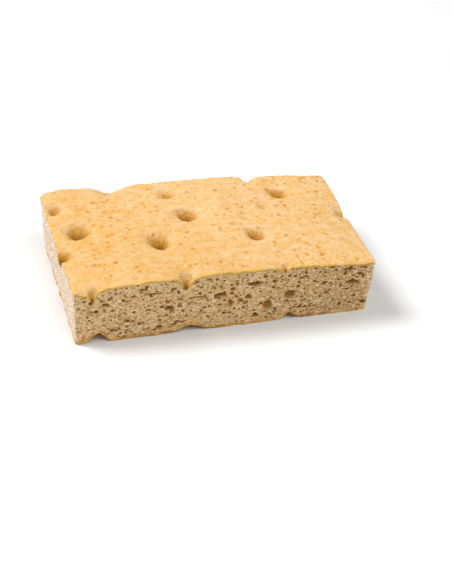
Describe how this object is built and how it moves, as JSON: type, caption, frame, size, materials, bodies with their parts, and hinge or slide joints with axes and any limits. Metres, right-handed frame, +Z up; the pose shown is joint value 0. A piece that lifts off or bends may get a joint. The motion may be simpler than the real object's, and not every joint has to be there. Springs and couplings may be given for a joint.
{
  "type": "focaccia piece",
  "caption": "Rectangular piece of plain focaccia with a golden dimpled crust, open crumb on its cut sides and a flat browned base.",
  "frame": {"origin": "middle of the flat base that the piece lies on", "axes": "+Z up through the crust, +X along the long cut sides, -Y out of the near cut side that the picture shows"},
  "size_m": [0.1526, 0.0827, 0.0353],
  "materials": {
    "bread": "matt baked crust and crumb"
  },
  "bodies": {
    "root": {"focaccia": "bread"}
  },
  "joints": []
}
